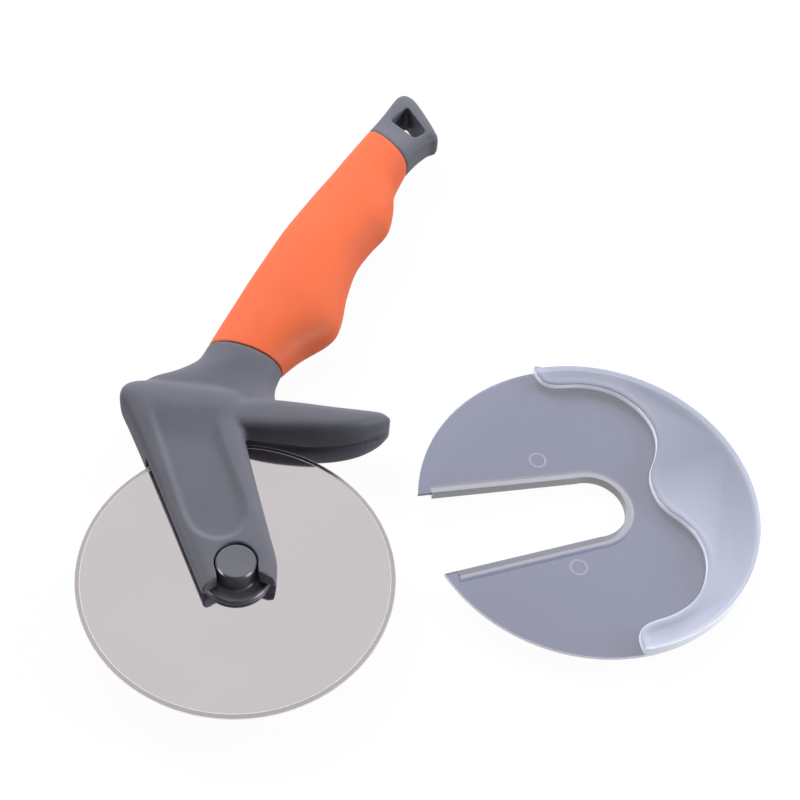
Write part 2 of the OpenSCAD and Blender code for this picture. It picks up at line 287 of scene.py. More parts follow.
def rounded(corners, radius, steps=4):
    """A profile with its inner corners rounded, each cut by less than half of its sides."""
    out = [corners[0]]
    for before, here, after in zip(corners, corners[1:], corners[2:]):
        here = Vector(here)
        to_before, to_after = Vector(before) - here, Vector(after) - here
        cut = min(radius, to_before.length * 0.45, to_after.length * 0.45)
        start = here + to_before.normalized() * cut
        end = here + to_after.normalized() * cut
        for k in range(steps + 1):
            t = k / steps
            point = start * (1 - t) ** 2 + here * 2 * t * (1 - t) + end * t * t
            out.append((max(point.x, 0), point.y))
    out.append(corners[-1])
    return out


def round_outline(corners, radius, steps=8):
    """The outline round circles on the corners of a convex shape."""
    corners = [np.array(c, float) for c in corners]
    area = sum(a[0] * b[1] - b[0] * a[1] for a, b in zip(corners, corners[1:] + corners[:1]))
    if area < 0:
        corners.reverse()
    outline = []
    for before, here, after in zip(corners[-1:] + corners[:-1], corners, corners[1:] + corners[:1]):
        d1, d2 = here - before, after - here
        start = atan2(-d1[0], d1[1])
        swing = (atan2(-d2[0], d2[1]) - start) % (2 * pi)
        outline += [here + radius * np.array([cos(start + swing * t), sin(start + swing * t)])
                    for t in np.linspace(0, 1, steps)]
    return outline


# Mesh helpers

@contextmanager
def editing(mesh):
    """A mesh's geometry, open for editing and then put back."""
    bm = bmesh.new()
    bm.from_mesh(mesh)
    yield bm
    bm.to_mesh(mesh)
    bm.free()


def add_object(name, data):
    """Puts a new object with this data into the scene."""
    obj = bpy.data.objects.new(name, data)
    bpy.context.scene.collection.objects.link(obj)
    return obj


def mesh_object(name, points, faces):
    """An object from points in millimetres round the wheel's axis, with its faces turned outwards."""
    mesh = bpy.data.meshes.new(name)
    mesh.from_pydata([WHEEL + Vector(p) * MM for p in points], [], faces)
    mesh.validate()
    mesh.update()
    with editing(mesh) as bm:
        bmesh.ops.recalc_face_normals(bm, faces=bm.faces)
    return add_object(name, mesh)


def ringed(name, rings, ends="capped"):
    """A skin over rings of equally many points. Its ends are capped, joined to each other or open."""
    count, points = len(rings), len(rings[0])
    faces = []
    for i in range(count if ends == "joined" else count - 1):
        for k in range(points):
            j, m = (i + 1) % count, (k + 1) % points
            faces.append((i * points + k, i * points + m, j * points + m, j * points + k))
    if ends == "capped":
        faces.append(tuple(range(points - 1, -1, -1)))
        faces.append(tuple((count - 1) * points + k for k in range(points)))
    return mesh_object(name, np.concatenate(rings), faces)


def loft(name, *runs):
    """A closed form through runs of cross-sections, with a sharp step from one run to the next."""
    return ringed(name, [ring for rows in runs for ring in rings_through(rows)])


def prism(name, outline, low, high):
    """A straight solid over an outline in the plan."""
    n = len(outline)
    points = [(x, y, low) for x, y in outline] + [(x, y, high) for x, y in outline]
    faces = [tuple(range(n - 1, -1, -1)), tuple(range(n, 2 * n))]
    faces += [(k, (k + 1) % n, n + (k + 1) % n, n + k) for k in range(n)]
    return mesh_object(name, points, faces)


def lathe(name, profile, points=192):
    """A turned form from (radius, height) pairs. Radius 0 closes it on the axis."""
    rings, corners = [], []
    for r, z in profile:
        if r == 0:
            rings.append([len(corners)])
            corners.append((0, 0, z))
        else:
            rings.append(list(range(len(corners), len(corners) + points)))
            corners += [(r * cos(2 * pi * k / points), r * sin(2 * pi * k / points), z) for k in range(points)]
    faces = []
    for here, there in zip(rings, rings[1:] + rings[:1]):
        if len(here) == 1 and len(there) == 1:
            continue
        for k in range(points):
            m = (k + 1) % points
            loop = [here[k % len(here)], here[m % len(here)], there[m % len(there)], there[k % len(there)]]
            faces.append(tuple(dict.fromkeys(loop)))
    return mesh_object(name, corners, faces)


def turned_block(name, radius, half):
    """A round block on the wheel's axis, as thick to both sides."""
    return lathe(name, [(0, -half), (radius, -half), (radius, half), (0, half)])


def modify(obj, kind, **settings):
    """Runs one modifier on an object and leaves a plain mesh."""
    modifier = obj.modifiers.new(kind.lower(), kind)
    for name, value in settings.items():
        setattr(modifier, name, value)
    bpy.context.view_layer.update()
    shaped = obj.evaluated_get(bpy.context.evaluated_depsgraph_get())
    mesh = bpy.data.meshes.new_from_object(shaped)
    old = obj.data
    obj.modifiers.clear()
    obj.data = mesh
    bpy.data.meshes.remove(old)
    mesh.name = obj.name
    return obj


def combine(obj, tool, operation="DIFFERENCE"):
    """Cuts a tool out of an object, or combines them in another way, and removes the tool."""
    modify(obj, "BOOLEAN", operation=operation, solver="MANIFOLD", object=tool)
    bpy.data.objects.remove(tool)
    return obj


def join(first, *others):
    """Puts the meshes of several objects into the first one."""
    with editing(first.data) as bm:
        for obj in others:
            bm.from_mesh(obj.data)
    for obj in others:
        bpy.data.objects.remove(obj)
    return first


def skin_over(obj, size):
    """One even skin over everything in the mesh, with squares of this size in millimetres."""
    return modify(obj, "REMESH", mode="VOXEL", voxel_size=size * MM, use_smooth_shade=True)


def relax(obj, rounds, weights=None):
    """Softens a mesh, all over or by a weight for each vertex."""
    group = ""
    if weights is not None:
        group = "relax"
        members = obj.vertex_groups.new(name=group)
        for index in np.nonzero(weights > 0.01)[0]:
            members.add([int(index)], float(weights[index]), "REPLACE")
    modify(obj, "SMOOTH", factor=0.5, iterations=rounds, vertex_group=group)
    obj.vertex_groups.clear()
    return obj


def thin_out(obj, share):
    """Leaves only a share of the faces, fewest where the form is flat."""
    return modify(obj, "DECIMATE", ratio=share)


def soften(obj, width):
    """Rounds every sharp edge by a width in metres."""
    return modify(obj, "BEVEL", width=width, segments=3, limit_method="ANGLE", angle_limit=radians(30))


def shade(obj, angle=40):
    """Smooth shading with true edges where faces meet at more than an angle in degrees."""
    mesh = obj.data
    mesh.polygons.foreach_set("use_smooth", [True] * len(mesh.polygons))
    with editing(mesh) as bm:
        for edge in bm.edges:
            edge.smooth = len(edge.link_faces) == 2 and edge.calc_face_angle(0) < radians(angle)
    return obj


def corners_of(obj):
    """The vertices in millimetres round the wheel's axis."""
    flat = np.empty(len(obj.data.vertices) * 3)
    obj.data.vertices.foreach_get("co", flat)
    return (flat.reshape(-1, 3) - np.array(WHEEL)) / MM


def set_corners(obj, points):
    """Puts the vertices at these places, in millimetres round the wheel's axis."""
    obj.data.vertices.foreach_set("co", (points * MM + np.array(WHEEL)).ravel())
    obj.data.update()


def finish(obj, body, slot, node, *materials):
    """Gives a piece its materials, the body it moves with and the node it stands for."""
    obj.data.materials.clear()
    for material in materials:
        obj.data.materials.append(material)
    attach(obj, body)
    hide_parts(node)
    return obj


# Materials

class Nodes:
    """A node tree under construction."""

    def __init__(self, tree):
        self.tree = tree

    def node(self, kind, **settings):
        made = self.tree.nodes.new(kind)
        for name, value in settings.items():
            setattr(made, name, value)
        return made

    def link(self, out, into):
        self.tree.links.new(out, into)

    def feed(self, socket, value):
        """Links a value to a socket, or sets a plain number, vector or colour there."""
        if isinstance(value, NodeSocket):
            self.link(value, socket)
        elif socket.type == "RGBA":
            socket.default_value = (*value, 1)
        else:
            socket.default_value = value

    def maths(self, operation, *values, clamp=False):
        """A number worked out from others."""
        node = self.node("ShaderNodeMath", operation=operation, use_clamp=clamp)
        for socket, value in zip(node.inputs, values):
            self.feed(socket, value)
        return node.outputs[0]

    def ramp(self, value, start, end, low=0, high=1, kind="SMOOTHSTEP"):
        """Maps the range from start to end on to another range, and holds it beyond."""
        node = self.node("ShaderNodeMapRange", interpolation_type=kind)
        for name, number in (("From Min", start), ("From Max", end), ("To Min", low), ("To Max", high)):
            node.inputs[name].default_value = number
        self.link(value, node.inputs["Value"])
        return node.outputs["Result"]

    def mix(self, factor, first, second, kind="FLOAT"):
        """The first value at factor 0, the second at 1."""
        node = self.node("ShaderNodeMix", data_type=kind)
        for name, value in (("Factor", factor), ("A", first), ("B", second)):
            self.feed(node.inputs[name], value)
        return node.outputs["Result"]

    def parts(self, vector):
        """The x, y and z of a vector."""
        node = self.node("ShaderNodeSeparateXYZ")
        self.link(vector, node.inputs[0])
        return node.outputs


class Shader(Nodes):
    """A material under construction, with its surface shader."""

    def __init__(self, name):
        self.material = bpy.data.materials.new(name)
        self.material.use_nodes = True
        super().__init__(self.material.node_tree)
        self.surface = self.tree.nodes["Principled BSDF"]
        self.place = self.node("ShaderNodeTexCoord").outputs["Object"]

    def set(self, **values):
        """Sets sockets of the surface shader, named with underscores for spaces."""
        for name, value in values.items():
            self.feed(self.surface.inputs[name.replace("_", " ")], value)

    def noise(self, scale, detail=3, roughness=0.5, stretch=None):
        """A cloud pattern with a scale in cycles per metre, stretched along some axes."""
        place = self.place
        if stretch:
            mapping = self.node("ShaderNodeMapping")
            mapping.inputs["Scale"].default_value = stretch
            self.link(place, mapping.inputs["Vector"])
            place = mapping.outputs["Vector"]
        noise = self.node("ShaderNodeTexNoise")
        for name, value in (("Scale", scale), ("Detail", detail), ("Roughness", roughness), ("Vector", place)):
            self.feed(noise.inputs[name], value)
        return noise.outputs["Fac"]

    def spread(self, pattern, low, high):
        """Maps the middle of a 0 to 1 pattern on to a range."""
        return self.ramp(pattern, 0.3, 0.7, low, high, "LINEAR")

    def clouds(self, colour, scale, dark, light):
        """A colour that drifts between two shares of itself, in clouds. It is painted on the surface."""
        cloud = self.spread(self.noise(scale), 0, 1)
        drifting = self.mix(cloud, scaled(colour, dark), scaled(colour, light), "RGBA")
        self.set(Base_Color=drifting)
        return drifting

    def polish(self, pattern, low, high):
        """A roughness that follows a pattern."""
        self.set(Roughness=self.spread(pattern, low, high))

    def bump(self, pattern, height, strength):
        """Relief of a height in millimetres."""
        bump = self.node("ShaderNodeBump")
        bump.inputs["Distance"].default_value = height * MM
        bump.inputs["Strength"].default_value = strength
        self.link(pattern, bump.inputs["Height"])
        self.link(bump.outputs["Normal"], self.surface.inputs["Normal"])


def scaled(colour, factor):
    """A colour times a factor, at most 1."""
    return tuple(min(c * factor, 1.0) for c in colour[:3])


def handle_plastic(name, colour, roughness=0.45, grain=0.35, shine=0.2):
    """Grey moulded plastic: satin, with a fine spark-eroded grain."""
    s = Shader(name)
    s.clouds(colour, 60, 0.94, 1.06)
    s.polish(s.noise(700, 2), roughness * 0.9, roughness * 1.1)
    s.bump(s.noise(4200, roughness=0.6), 0.012, grain)
    s.set(Specular_IOR_Level=shine, IOR=1.5)
    return s.material


def grip_rubber(name, colour):
    """Soft orange grip: matte, with a faint bloom and a very fine grain."""
    s = Shader(name)
    s.clouds(colour, 45, 0.97, 1.03)
    s.polish(s.noise(500, 2), 0.50, 0.60)
    s.bump(s.noise(5200, roughness=0.6), 0.012, 0.4)
    s.set(Specular_IOR_Level=0.35, Sheen_Weight=0.05, Sheen_Roughness=0.5)
    return s.material


def blade_steel(name, colour, roughness, lines_height):
    """Steel with fine straight grinding lines, of a height in millimetres."""
    s = Shader(name)
    lines = s.noise(900, 5, 0.6, stretch=(1, 22, 1))
    s.clouds(colour, 18, 0.97, 1.02)
    s.polish(lines, roughness * 0.9, roughness * 1.15)
    s.bump(lines, lines_height, 0.12)
    s.set(Metallic=1.0)
    return s.material


def frosted_shader(name, colour, alpha, roughness, glow=0.0):
    """Translucent frosted plastic, still to be painted. Its glow is painted light: an emission that stands in
    for the light that the plastic scatters at thin edges.
    """
    s = Shader(name)
    s.polish(s.noise(600), roughness * 0.9, roughness * 1.1)
    s.bump(s.noise(1800, roughness=0.6), 0.004, 0.1)
    s.set(Alpha=alpha, Specular_IOR_Level=0.5, Emission_Color=colour, Emission_Strength=glow)
    return s


def cover_plastic(name, colour, alpha, roughness, glow):
    """The cover's plastic in one colour, cloudy like polypropylene, with a painted glow."""
    s = frosted_shader(name, colour, alpha, roughness, glow)
    s.clouds(colour, *COVER_CLOUDS)
    return s.material


def plate_plastic(name, colour, painted_band_colour, alpha, roughness):
    """The plate's plastic, painted lighter over the rib: painted light that stands in for the light scattered
    in the thick plastic there.
    """
    s = frosted_shader(name, colour, alpha, roughness)
    thin = s.clouds(colour, *COVER_CLOUDS)

    # from the slot's end in mm, along the slot and across it
    on_cover = s.node("ShaderNodeMapping", vector_type="TEXTURE")
    for socket, value in (("Vector", s.place), ("Location", WHEEL + Vector((*COVER_AT, 0)) * MM),
                          ("Rotation", (0, 0, COVER_TURN)), ("Scale", (MM, MM, MM))):
        s.feed(on_cover.inputs[socket], value)
    along, across, _ = s.parts(on_cover.outputs["Vector"])
    across = s.maths("ABSOLUTE", across)

    # the distance from the slot, as in from_slot
    c, t = cos(SLOT_TAPER), sin(SLOT_TAPER)
    out = s.maths("ADD", s.maths("MULTIPLY", across, c), s.maths("MULTIPLY", along, t))
    back = s.maths("SUBTRACT", s.maths("MULTIPLY", along, c), s.maths("MULTIPLY", across, t))
    back = s.maths("MAXIMUM", back, 0)
    reach = s.maths("SQRT", s.maths("ADD", s.maths("MULTIPLY", out, out), s.maths("MULTIPLY", back, back)))

    # painted light: the plate is painted lighter in a band over the rib
    over_rib = s.maths("MULTIPLY", s.ramp(reach, RIB_R + 0.5, RIB_R - 0.4),
                       s.ramp(along, -RIB_END - 0.5, -RIB_END + 0.5))
    s.set(Base_Color=s.mix(over_rib, thin, painted_band_colour, "RGBA"))
    return s.material


def sheet_plastic(name, colour, alpha, roughness):
    """The upper sheet's plastic, with painted shading: lighter towards its near end and darker towards its far
    end.
    """
    s = frosted_shader(name, colour, alpha, roughness)
    far, near = (WHEEL.y + (COVER_AT[1] + y) * MM for y in (COVER_R - 10, 5 - COVER_R))
    painted_shading = s.ramp(s.parts(s.place)["Y"], far, near)
    s.set(Base_Color=s.mix(painted_shading, scaled(colour, 0.8), scaled(colour, 1.42), "RGBA"))
    return s.material


# Frame moulding: fork, guard, neck, core under the grip, and hanging end

def fork_half_at(along):
    """Half of the fork's thickness, which grows from its tips to the shoulder."""
    return FORK_HALF + (SHOULDER_HALF - FORK_HALF) * max(along, 0) / SHOULDER_A


def fork_rows():
    """The fork from its tips to the shoulder, each row from its back to its front."""
    back = ARM_BACK
    front = back - ARM_W
    top_front = back - ARM_TOP_W
    middle_front = (front + top_front) / 2
    return [
        station(arm_at(-5, back), arm_at(-10.6, front + 4.2), FORK_HALF, 6),
        station(arm_at(4, back), arm_at(-3, front + 0.8), FORK_HALF, 6),
        station(arm_at(14, back), arm_at(9, front - 0.9), fork_half_at(12), 6),
        station(arm_at(RIM_A * 0.6, back), arm_at(RIM_A * 0.55, middle_front - 0.3),
                fork_half_at(RIM_A * 0.6), 6),
        station(arm_at(RIM_A, back + 0.2), arm_at(RIM_A - 5, top_front), fork_half_at(RIM_A), 5),
        station(arm_at(RIM_A + 14, back + 0.5), arm_at(RIM_A, top_front - 2), SHOULDER_HALF, 4.5),
        station(arm_at(RIM_A + 21.8, back + 0.8), arm_at(RIM_A + 4, top_front - 5), SHOULDER_HALF - 0.4, 4),
        station(arm_at(RIM_A + 25.4, back - 1.4), arm_at(RIM_A + 6, top_front - 6.5), SHOULDER_HALF - 2, 3.6),
        station(arm_at(RIM_A + 26.4, back - 5), arm_at(RIM_A + 6.8, top_front - 7), SHOULDER_HALF - 4.4, 3.2),
    ]


def guard_row(x, front, depth, half, square):
    """A section of the guard at x: where its front is past the pocket, and how deep it is from there."""
    y = POCKET_R - GUARD_LAP + front
    return station((x, y + depth), (x, y), half, square)


def guard_rows():
    """The guard from inside the fork to its tip."""
    return [
        guard_row(-12, -0.5, 12.3, GUARD_HALF - 2.6, 3),
        guard_row(2, -1.5, 14.9, GUARD_HALF - 0.8, 3.2),
        guard_row(GUARD_REACH * 0.3, -1.2, 14.4, GUARD_HALF, 3.1),
        guard_row(GUARD_REACH * 0.54, 0, 12.8, GUARD_HALF, 3),
        guard_row(GUARD_REACH * 0.76, 2.8, 10.4, GUARD_HALF - 1, 2.8),
        guard_row(GUARD_REACH * 0.92, 6.8, 7.2, GUARD_HALF - 3.2, 2.5),
        guard_row(GUARD_REACH, 10.4, 3, GUARD_HALF - 6.6, 2.2),
    ]


def handle_row(along_1, left_1, along_2, left_2, half, square):
    """A section of the handle between two points along it and to its left."""
    return station(on_handle(along_1, left_1), on_handle(along_2, left_2), half, square)


def neck_rows():
    """The neck from inside the fork to the grip's collar."""
    return [
        handle_row(-32, 23, -15.5, -24, COLLAR_HALF - 1.6, 3),
        handle_row(-25, 24.8, -11, -17.5, COLLAR_HALF - 1.2, 2.8),
        handle_row(-17.6, 18.4, -6.4, -14.8, COLLAR_HALF - 0.9, 2.5),
        handle_row(-9.6, 13.7, -2.8, -13.9, COLLAR_HALF - 0.4, 2.2),
        handle_row(-1.3, 13.4, 1.3, -13.4, COLLAR_HALF, 2.1),
    ]


def grip_rows(wall):
    """The grip's cross-sections, each with its sides brought in by a wall."""
    rows = [
        (-1.3, 13.4, 1.3, 13.4, COLLAR_HALF, 2.1),
        (8, PALM - 0.5, 11, 16.4, COLLAR_HALF + 0.6, 2.1),
        (GRIP_L * 0.19, PALM - 0.2, GRIP_L * 0.21, SWELL_1 - 0.6, BELLY_HALF - 0.5, 2.2),
        (GRIP_L * 0.27, PALM, GRIP_L * 0.28, SWELL_1 - 0.8, BELLY_HALF, 2.2),
        (GRIP_L * 0.39, PALM, GRIP_L * 0.39, 18, BELLY_HALF, 2.2),
        (GRIP_L * 0.51, PALM - 0.1, GRIP_L * 0.51, 15.6, BELLY_HALF - 0.3, 2.2),
        (GRIP_L * 0.62, PALM - 0.9, GRIP_L * 0.61, 16.2, BELLY_HALF - 0.9, 2.2),
        (GRIP_L * 0.73, PALM - 1.9, GRIP_L * 0.70, SWELL_2, BELLY_HALF - 1.5, 2.2),
        (GRIP_L * 0.82, PALM - 3, GRIP_L * 0.78, 15.8, BELLY_HALF - 2, 2.2),
        (GRIP_L * 0.90, PALM - 3.9, GRIP_L * 0.86, 12.4, BELLY_HALF - 2.4, 2.3),
        (GRIP_L + 5.3, 8.6, GRIP_L - 2.3, 11.2, BELLY_HALF - 3, 2.5),
    ]
    return [handle_row(a1, b1 - wall, a2, wall - b2, half - wall, square)
            for a1, b1, a2, b2, half, square in rows]


def end_rows():
    """The hanging end from the grip's end to its tip."""
    return [
        handle_row(GRIP_L + 5.3, 8.6, GRIP_L - 2.3, -11.2, BELLY_HALF - 3, 2.5),
        handle_row(GRIP_L + 10, 8, GRIP_L + 5, -12.4, END_HALF + 0.6, 3.2),
        handle_row(GRIP_L + 15, 7.4, GRIP_L + 11, -14.2, END_HALF, 4),
        handle_row(TIP - 9.4, 7, TIP - 14.8, -16.1, END_HALF, 4.5),
        handle_row(TIP - 6, 6.8, TIP - 11.8, -13.4, END_HALF, 4.5),
        handle_row(TIP - 3, 6.5, TIP - 7, -7.8, END_HALF - 0.2, 4.2),
        handle_row(TIP - 0.9, 5.4, TIP - 2.6, -2.4, END_HALF - 0.9, 3.6),
        handle_row(TIP, 3.8, TIP - 0.5, 0.6, END_HALF - 2.2, 3),
    ]


def mouth_outline():
    """The open mouth of the seats, which flares out at the arms' ends."""
    spread = MOUTH_HALF + (ARM_W - MOUTH_DEPTH) * tan(FLARE)
    half = [(0, MOUTH_HALF), (MOUTH_DEPTH, MOUTH_HALF), (ARM_W, spread)]
    whole = half + [(a, -b) for a, b in reversed(half)]
    return [place((0, 0), MOUTH_DIR, a, b) for a, b in whole]


def groove_outline():
    """The groove in the guard's front, over the blade's rim. It runs out at the guard's tip."""
    front = [r[2:4] for r in smooth(guard_rows(), 6) if r[0] > GROOVE_FROM]
    depths = [GROOVE_DEPTH * (1 - (max(x, 0) / GUARD_REACH) ** 4) - GROOVE_OUT for x, y in front]
    inner = [p + np.array([0, depth]) for p, depth in zip(front, depths)]
    return inner + [np.array([GUARD_REACH + 1, 0]), np.array([front[0][0], 0])]


def hole_outline():
    """The hole to hang the cutter by, a quadrangle with round corners."""
    corners = [on_handle(GRIP_L + 13.4, 1.4), on_handle(TIP - 8.9, -0.4),
               on_handle(GRIP_L + 13.4, -9.6), on_handle(GRIP_L + 10.2, -8)]
    return round_outline(corners, HOLE_ROUND)


def panel_outline():
    """The shallow panel in each arm's face, round at its lower end."""
    return np.array([
        (-18.3, 15.8), (-15.9, 11.9), (-13.9, 9.9), (-11.4, 8.5), (-8.3, 7.8), (-5.4, 8.2), (-2.9, 9.4),
        (-0.9, 11.2), (0.3, 13.6), (0.6, 16.6), (-0.5, 21.3), (-3.6, 28.4), (-7.2, 35.7), (-10.4, 42),
        (-12.8, 49.4), (-13.6, 60), (-38, 60)], float)


def softness(points):
    """How much each point softens: most where fork, guard and neck meet, and not at all past the collar."""
    x, y = points[:, 0], points[:, 1]
    along = (points[:, :2] - COLLAR_AT) @ np.array([cos(HANDLE_DIR), sin(HANDLE_DIR)])
    round_neck = ease((34 - np.abs(along + 22)) / 12)
    above_guard = ease((y - 60) / 8)
    behind_guard = ease((-6 - x) / 6)
    weights = 0.35 + 0.65 * round_neck
    weights *= 0.55 + 0.45 * np.maximum(above_guard, behind_guard)
    weights[along > -3] = 0
    return weights


def press_panel(body, depth, border):
    """Sinks the panel into both faces of the fork. It fades out towards the shoulder."""
    p = corners_of(body)
    sunk = ease((depth_inside(p, panel_outline()) + border / 2) / border)
    fade = ease((PANEL_TOP - p[:, 1]) / PANEL_FADE)
    outside = ease((np.abs(p[:, 2]) - PANEL_INSIDE) / 1.5)
    p[:, 2] -= np.sign(p[:, 2]) * depth * sunk * fade * outside
    set_corners(body, p)


def build_frame(sizes):
    """The grey moulding, from one skin over its forms, less its slot, groove, seats and hole."""
    core = loft("core", neck_rows(), grip_rows(GRIP_WALL + BOND), end_rows())
    body = join(loft("body", fork_rows()), loft("guard", guard_rows()), core)
    skin_over(body, sizes.first_skin)
    relax(body, sizes.rounding, softness(corners_of(body)))

    past = SHOULDER_HALF + 2
    combine(body, turned_block("slot", POCKET_R, SLOT_HALF))
    combine(body, prism("groove", groove_outline(), -GROOVE_W / 2, GROOVE_W / 2))
    combine(body, turned_block("seat", SEAT_R, past))
    combine(body, prism("mouth", mouth_outline(), -past, past))
    combine(body, prism("hole", hole_outline(), -2 * END_HALF, 2 * END_HALF))
    skin_over(body, sizes.last_skin)
    relax(body, 3)

    press_panel(body, sizes.panel_depth, sizes.panel_ease)
    thin_out(body, sizes.faces_left)
    return shade(body)


# Grip, blade and hub

def build_grip(rim_round):
    """The soft grip, a sleeve with rounded ends."""
    outer, inner = (rings_through(grip_rows(wall), 9, 120) for wall in (0, GRIP_WALL))
    sleeve = ringed("grip_sleeve", outer + inner[::-1], "joined")
    points = len(outer[0])
    rims = ({0}, {len(outer) - 1})
    with editing(sleeve.data) as bm:
        edges = [e for e in bm.edges if {v.index // points for v in e.verts} in rims]
        bmesh.ops.bevel(bm, geom=edges, offset=rim_round, offset_type="OFFSET", segments=4,
                        profile=0.5, affect="EDGES", clamp_overlap=True)
    return shade(sleeve, 50)


def build_blade(bevel):
    """The blade: flat faces, a ground bevel with a thin line at both its edges, and a bore."""
    bore = BARREL_R + RUN_FIT
    half = [(bore, BLADE_HALF - BORE_CHAMFER), (bore + BORE_CHAMFER, BLADE_HALF),
            (BLADE_R - bevel - LINE_HALF, BLADE_HALF), (BLADE_R - bevel + LINE_HALF, BLADE_HALF - LINE_DROP),
            (BLADE_R - BURR_W, EDGE_HALF + BURR_RISE), (BLADE_R, EDGE_HALF)]
    return shade(lathe("blade_disc", half + [(r, -z) for r, z in reversed(half)], 360), 12)


def sort_blade_faces(blade, bevel):
    """Gives the blade's faces their finish. A thin line runs at both edges of the bevel, and these lines get a
    painted highlight.
    """
    for face in blade.data.polygons:
        inside = BLADE_R - (face.center - WHEEL).to_2d().length / MM
        if inside < 0.2 or abs(inside - bevel) < 0.05:
            face.material_index = PAINTED_GLINT
        else:
            face.material_index = GROUND if inside < bevel else POLISHED


def hub_profile(sign, core):
    """A flange with a raised rim, dished round a stub, then the stub with its chamfer and sunk face."""
    dish = FLANGE_OUT - DISH_DEPTH
    rim = [core[-1], (FLANGE_R, FLANGE_IN), (FLANGE_R, FLANGE_OUT - FLANGE_CHAMFER),
           (FLANGE_R - FLANGE_CHAMFER, FLANGE_OUT), (FLANGE_R - 1.3, FLANGE_OUT), (FLANGE_R - 2.5, dish)]
    foot = [(FLANGE_R - 2.8, dish - 0.02), (STUB_R, dish - 0.05), (STUB_R, FORK_HALF - 2)]
    stub = [(STUB_R, FORK_HALF - 1.6), (STUB_R, FORK_HALF - STUB_CHAMFER),
            (STUB_R - STUB_CHAMFER, FORK_HALF), (STUB_R - 1.1, FORK_HALF)]
    face = [(STUB_R - 1.5, FORK_HALF - 0.04), (2.2, FORK_HALF - 0.09), (0, FORK_HALF - 0.14)]
    side = rounded(rim, 0.16) + rounded(foot, 1, 6)[:-1] + rounded(stub, 0.14)
    return [(r, sign * z) for r, z in core[:-1] + side + face]


def build_hub_front():
    """The near half, with the barrel that the blade turns on and the spigot that joins the halves."""
    end = -FLANGE_IN - SPIGOT_L
    core = [(0, end), (SPIGOT_R - 0.4, end), (SPIGOT_R, end + 0.4), (SPIGOT_R, -FLANGE_IN),
            (BARREL_R - 0.2, -FLANGE_IN), (BARREL_R, -FLANGE_IN + 0.2), (BARREL_R, FLANGE_IN)]
    return shade(lathe("hub_near_half", hub_profile(1, core), 128))


def build_hub_back():
    """The far half, with the spigot's socket."""
    deep = FLANGE_IN + SOCKET_L
    core = [(0, deep), (SOCKET_R, deep), (SOCKET_R, FLANGE_IN + 0.2), (SOCKET_R + 0.18, FLANGE_IN)]
    return shade(lathe("hub_far_half", hub_profile(-1, core), 128))


# Cover

def lay_cover(obj):
    """Moves a piece built round the slot's end, bottom at 0, to where the cover lies."""
    p = corners_of(obj)
    x = RIB_R + (p[:, 0] - RIB_R) * cos(COVER_TILT) + p[:, 2] * sin(COVER_TILT)
    z = (RIB_R - p[:, 0]) * sin(COVER_TILT) + p[:, 2] * cos(COVER_TILT)
    plan = np.array([place(COVER_AT, COVER_TURN, a, b) for a, b in zip(x, p[:, 1])])
    set_corners(obj, np.column_stack([plan, z - (WHEEL.z - FLOOR_Z) / MM]))


def slot_outline(grow, far):
    """The slot with a margin round it: its round end, and its sides that open out to a distance."""
    r = SLOT_R + grow
    turn = pi / 2 + SLOT_TAPER
    touch = (r * cos(turn), r * sin(turn))
    half = arc(r, 0, turn, 24) + [(-far, touch[1] + (far + touch[0]) * tan(SLOT_TAPER))]
    return half + [(x, -y) for x, y in reversed(half[1:])]


def edge_half():
    """Half of the pocket's wavy edge, from the middle outwards."""
    points = [(21.2, 0), (21.7, 4.5), (23.5, 8.6), (26.8, 13.4), (29.3, 19.1), (29.9, 25.5), (28, 32.6),
              (23.5, 39.5), (18, 43.8), (11, 46.4), (3.2, 47.6), (-0.8, 49.5), (-2.5, 53.1), (-2.4, 58.5)]
    return smooth(points, 5)


def pocket_edge():
    """The whole wavy edge, from its near end to its far end."""
    half = edge_half()
    return [np.array([x, -y]) for x, y in reversed(half[1:])] + half


def crescent_outline(radius, shift):
    """The upper sheet: the wavy edge moved inwards by a shift, closed by the round rim."""
    edge = pocket_edge()
    moved = [p + shift * way for p, way in zip(edge, square_to(edge))]
    inner = [p for p in moved if np.hypot(p[0] + SLOT_SHIFT, p[1]) < radius - 0.05]
    start, end = (atan2(p[1], p[0] + SLOT_SHIFT) for p in (inner[-1], inner[0]))
    return inner + arc(radius, start, end, 140, COVER_MIDDLE)


def round_block(radius, low, high):
    """A round block in the cover's own place."""
    return prism("round", circle(radius, 360, COVER_MIDDLE), low, high)


def build_lip(base, top):
    """The rounded bead along the wavy edge: steep towards the plate, and running out over the sheet."""
    profile = [(0, base), (0, top - 0.5), (0.14, top - 0.2), (0.4, top - 0.04), (0.8, top), (1.4, top - 0.06),
               (2.1, top - 0.26), (2.8, top - 0.55), (LIP_W, top - 0.85), (LIP_W, base)]
    edge = pocket_edge()
    rings = [[(*(p + shift * way), z) for shift, z in profile] for p, way in zip(edge, square_to(edge))]
    return combine(ringed("lip", rings), round_block(COVER_R - 0.06, base - 1, top + 1), "INTERSECT")


def build_mark(spot):
    """The small round witness mark of an ejector pin, a low ring on the plate."""
    profile = [(2.3, -0.02), (2.5, 0.1), (2.75, 0.17), (2.95, 0.1), (3.1, -0.02)]
    rings = [[(*p, PLATE_TOP + rise) for p in circle(r, 48, spot)] for r, rise in profile]
    return ringed("mark", rings, "open")


